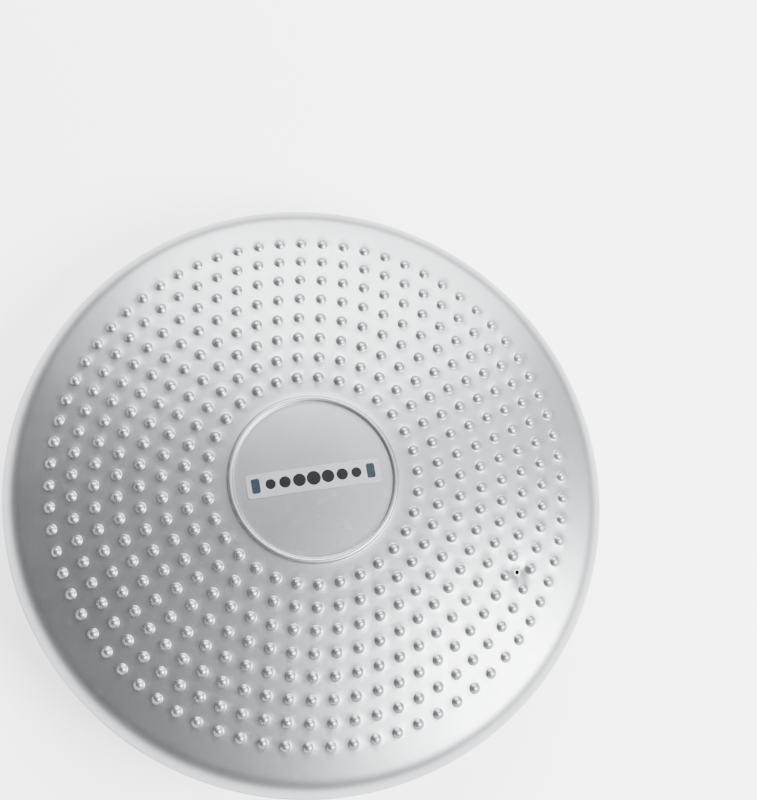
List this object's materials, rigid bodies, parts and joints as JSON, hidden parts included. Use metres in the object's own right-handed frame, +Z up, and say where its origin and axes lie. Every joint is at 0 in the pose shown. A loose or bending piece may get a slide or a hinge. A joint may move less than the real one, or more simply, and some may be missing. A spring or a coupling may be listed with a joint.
{
  "type": "wobble cushion",
  "caption": "Round air-filled balance cushion with a finely bumped sitting face, a studded underside, a welded rim and a needle valve.",
  "frame": {"origin": "on the floor under the middle of the disc, at the tips of the underside studs", "axes": "+Z up through the middle of the sitting face; +Y along the mirror line of the bump pattern; the valve lies towards +X"},
  "size_m": [0.33, 0.33, 0.0714],
  "materials": {
    "pvc_sitting": "satin",
    "pvc_underside": "satin",
    "pvc_weld": "satin",
    "boot_rubber": "matte",
    "plug_rubber": "satin",
    "label_film": "gloss"
  },
  "bodies": {
    "lower": {"lower_skin": "pvc_underside"},
    "rim": {"rim_weld": "pvc_weld"},
    "upper": {"upper_skin": "pvc_sitting", "valve_boot": "boot_rubber", "valve_plug": "plug_rubber", "badge_label": "label_film"}
  },
  "joints": [
    {"name": "wobble_pitch", "type": "hinge", "parent": "lower", "child": "rim", "pos_m": [0, 0, 0.031], "axis": [1, 0, 0], "range_deg": [-6, 6], "stiffness_Nm_per_rad": 120, "deforming": ["lower_skin"]},
    {"name": "wobble_roll", "type": "hinge", "parent": "rim", "child": "upper", "pos_m": [0, 0, 0.031], "axis": [0, 1, 0], "range_deg": [-6, 6], "stiffness_Nm_per_rad": 120, "deforming": ["upper_skin"]}
  ]
}
